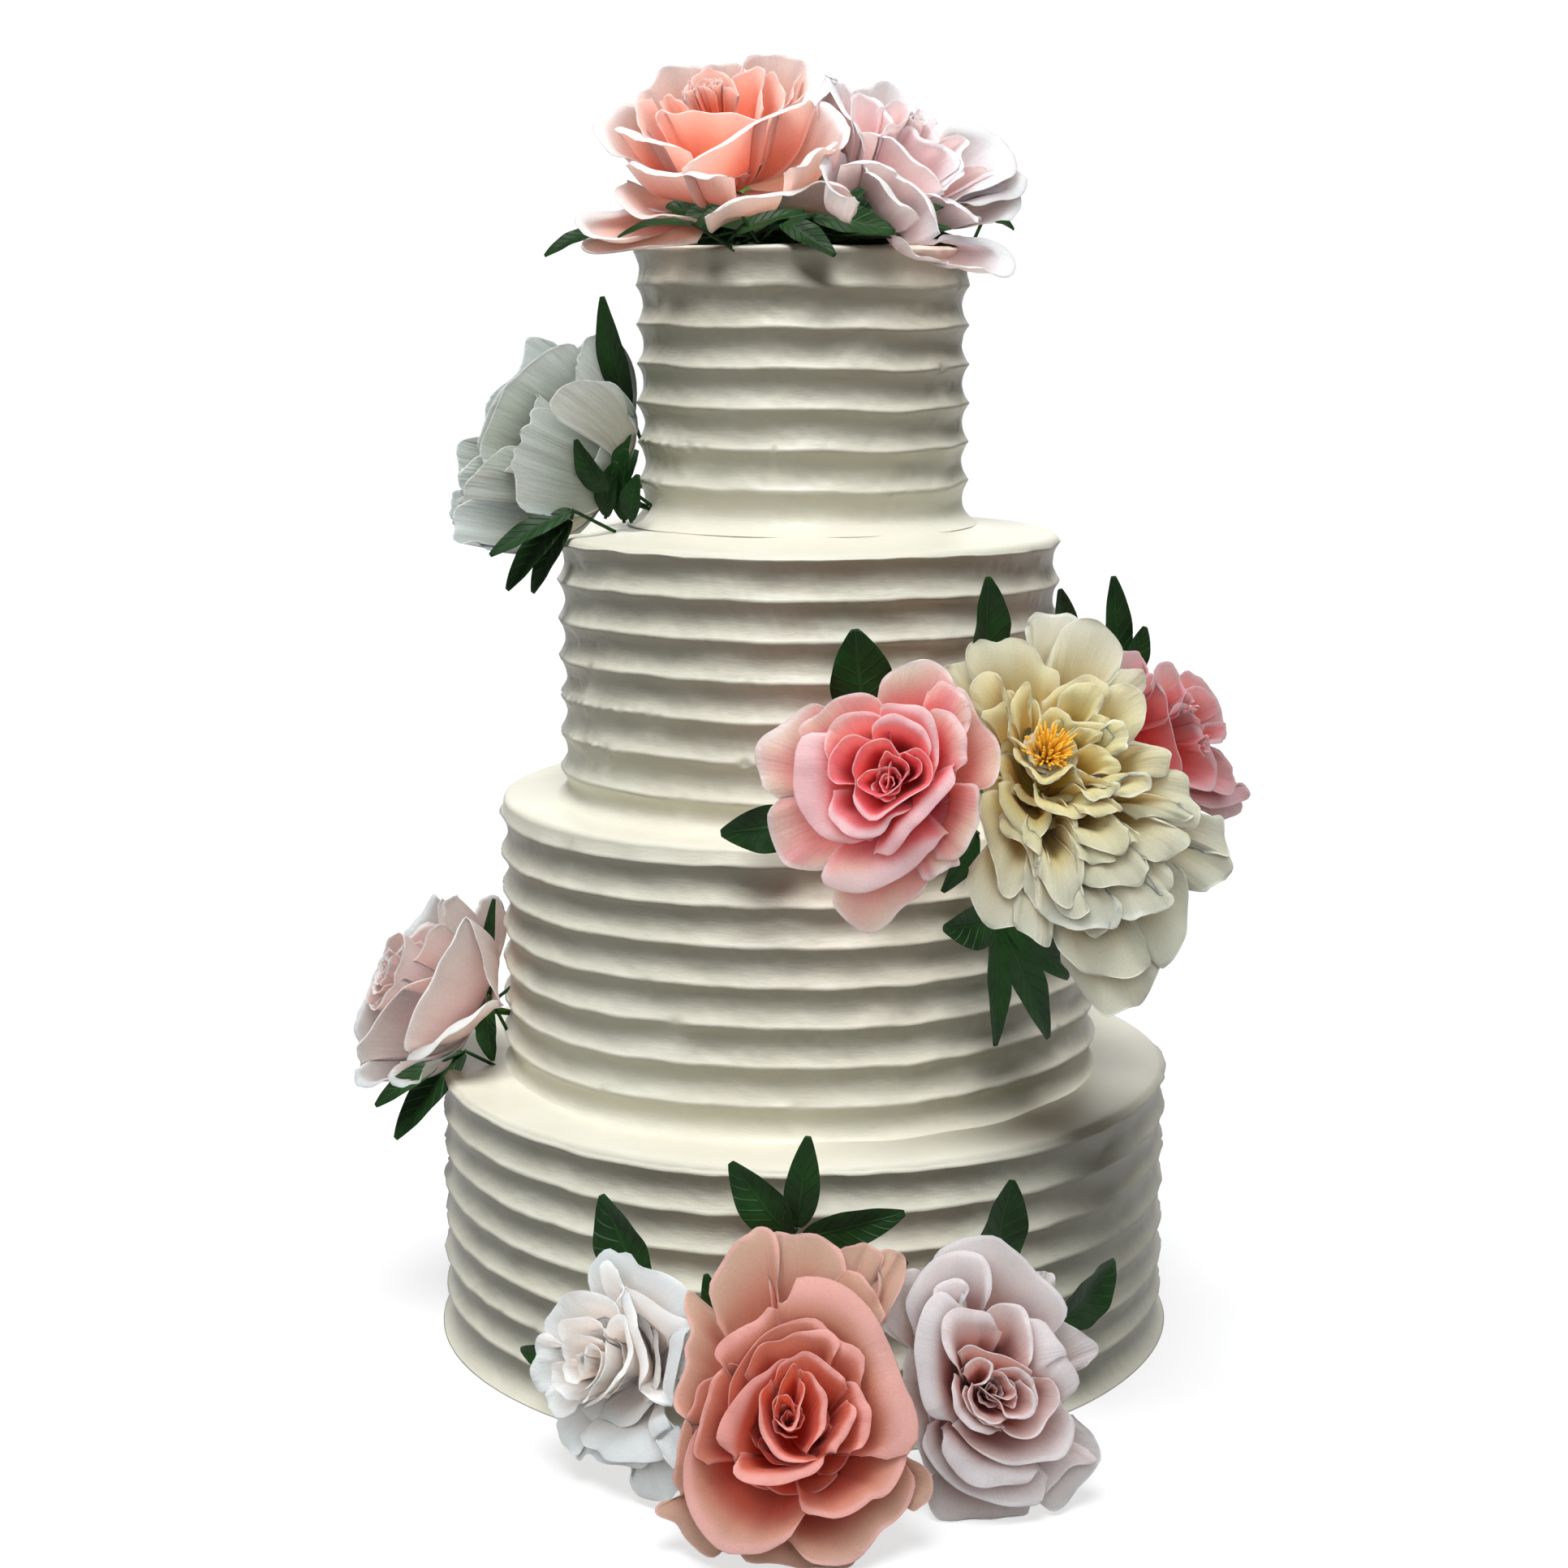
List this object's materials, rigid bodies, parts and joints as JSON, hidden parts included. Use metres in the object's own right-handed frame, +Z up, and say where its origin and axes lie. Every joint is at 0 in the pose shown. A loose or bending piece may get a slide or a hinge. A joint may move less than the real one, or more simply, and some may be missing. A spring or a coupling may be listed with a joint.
{
  "type": "tiered wedding cake",
  "caption": "Round wedding cake of stacked tiers in combed ivory icing, dressed with silk roses, a peony and green leaves.",
  "frame": {"origin": "middle of the foot of the lowest tier, on the surface that the cake stands on", "axes": "+Z up through the tiers, -Y towards the front where the large roses are, +X to the right of one who looks at the front"},
  "size_m": [0.4322, 0.492, 0.6381],
  "materials": {
    "icing": "satin",
    "petal_peach": "matte",
    "petal_blush": "matte",
    "petal_white": "matte",
    "petal_pink": "matte",
    "petal_cream": "matte",
    "petal_coral": "matte",
    "leaf": "satin"
  },
  "bodies": {
    "root": {"tier_1": "icing", "tier_2": "icing", "tier_3": "icing", "tier_4": "icing", "rose_coral": "petal_coral", "rose_blush_right": "petal_blush", "rose_white_left": "petal_white", "rose_pink_front": "petal_pink", "peony": "petal_cream", "rose_pink_right": "petal_pink", "rose_peach_top": "petal_peach", "rose_blush_top": "petal_blush", "flower_white_side": "petal_white", "rose_blush_side": "petal_blush", "leaf_foot_left": "leaf", "leaf_foot_far_left": "leaf", "sprig_foot_middle": "leaf", "leaf_foot_inner": "leaf", "leaf_foot_inner_right": "leaf", "leaf_foot_right": "leaf", "leaf_foot_far_right": "leaf", "leaf_front_top": "leaf", "leaf_front_left": "leaf", "leaf_front_low": "leaf", "leaf_peony_top": "leaf", "leaf_peony_back": "leaf", "sprig_right": "leaf", "sprig_hanging": "leaf", "leaf_side_tall": "leaf", "leaf_side_calyx": "leaf", "sprig_side_low": "leaf", "leaf_side_small": "leaf", "leaf_side_back": "leaf", "leaf_low_up": "leaf", "leaf_low_down": "leaf", "sprig_low": "leaf", "leaf_top_far_left": "leaf", "leaf_top_left": "leaf", "leaf_top_small": "leaf", "leaf_top_middle": "leaf", "sprig_top_front": "leaf", "leaf_top_right": "leaf", "leaf_top_back": "leaf"}
  },
  "joints": []
}
